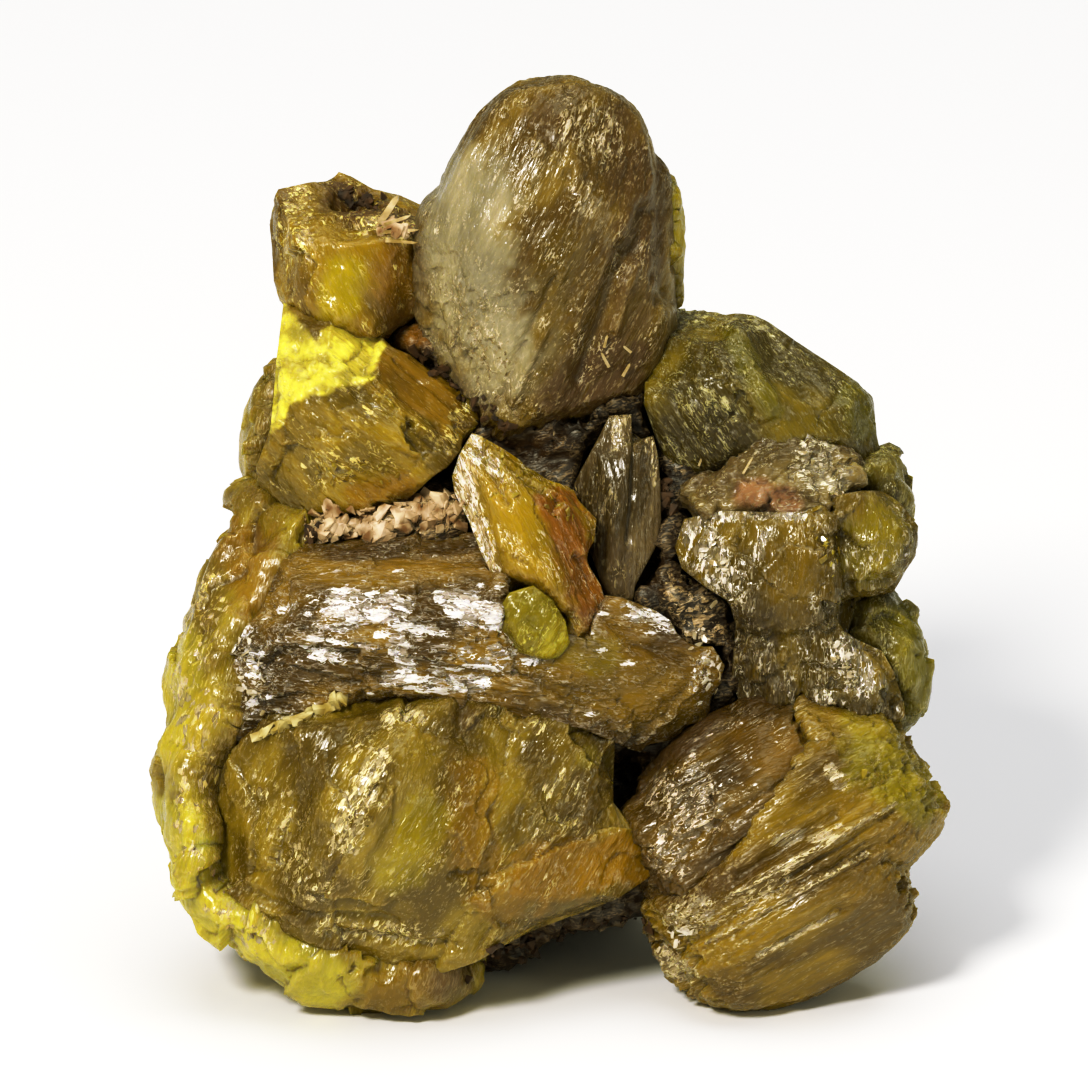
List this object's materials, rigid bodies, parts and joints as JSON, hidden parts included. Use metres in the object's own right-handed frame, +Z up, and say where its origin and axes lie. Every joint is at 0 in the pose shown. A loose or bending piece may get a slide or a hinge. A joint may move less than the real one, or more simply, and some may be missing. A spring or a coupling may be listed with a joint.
{
  "type": "pyromorphite specimen",
  "caption": "Cluster of stout barrel-shaped and rounded pyromorphite crystals, olive, mustard and brown, grown together over brown rock; it stands upright on its broken base for display.",
  "frame": {"origin": "middle of the specimen's footprint box, on the ground that it stands on", "axes": "+Z up, along its height; the show face looks along -Y and leans back 20 degrees; +X to the right as the show face is seen"},
  "size_m": [0.0341, 0.0221, 0.0372],
  "materials": {
    "back_barrel_left": "resinous, smooth to ridged",
    "back_barrel_right": "resinous, smooth to ridged",
    "back_low_left": "waxy, smooth",
    "back_low_right": "resinous, smooth to ridged",
    "green_bead": "waxy, smooth",
    "grey_crust_crystal": "dull to resinous crust",
    "left_back_crystal": "waxy, smooth",
    "left_crystal": "resinous, fibrous",
    "left_lobe": "waxy, smooth and bumpy",
    "lower_left_crystal": "resinous, smooth to stepped",
    "lower_right_barrel": "resinous, ridged along its fibres",
    "lower_right_barrel_upper": "resinous, fibrous",
    "matrix": "dull, crumbly",
    "middle_sheaf": "silky to resinous, fibrous",
    "right_back_lobe": "waxy, smooth",
    "right_block": "resinous, partly crusted",
    "right_dome": "resinous, stepped",
    "right_lobe": "waxy, smooth",
    "top_barrel_crystal": "resinous, fibrous",
    "top_right_crystal": "resinous, smooth",
    "upper_left_crystal": "resinous, pitted top",
    "upright_blade": "resinous, fibrous",
    "wedge_crystal": "resinous, fibrous on its left face"
  },
  "bodies": {
    "root": {"back_barrel_left": "back_barrel_left", "back_barrel_right": "back_barrel_right", "back_low_left": "back_low_left", "back_low_right": "back_low_right", "green_bead": "green_bead", "grey_crust_crystal": "grey_crust_crystal", "left_back_crystal": "left_back_crystal", "left_crystal": "left_crystal", "left_lobe": "left_lobe", "lower_left_crystal": "lower_left_crystal", "lower_right_barrel": "lower_right_barrel", "lower_right_barrel_upper": "lower_right_barrel_upper", "matrix": "matrix", "middle_sheaf": "middle_sheaf", "right_back_lobe": "right_back_lobe", "right_block": "right_block", "right_dome": "right_dome", "right_lobe": "right_lobe", "top_barrel_crystal": "top_barrel_crystal", "top_right_crystal": "top_right_crystal", "upper_left_crystal": "upper_left_crystal", "upright_blade": "upright_blade", "wedge_crystal": "wedge_crystal"}
  },
  "joints": []
}
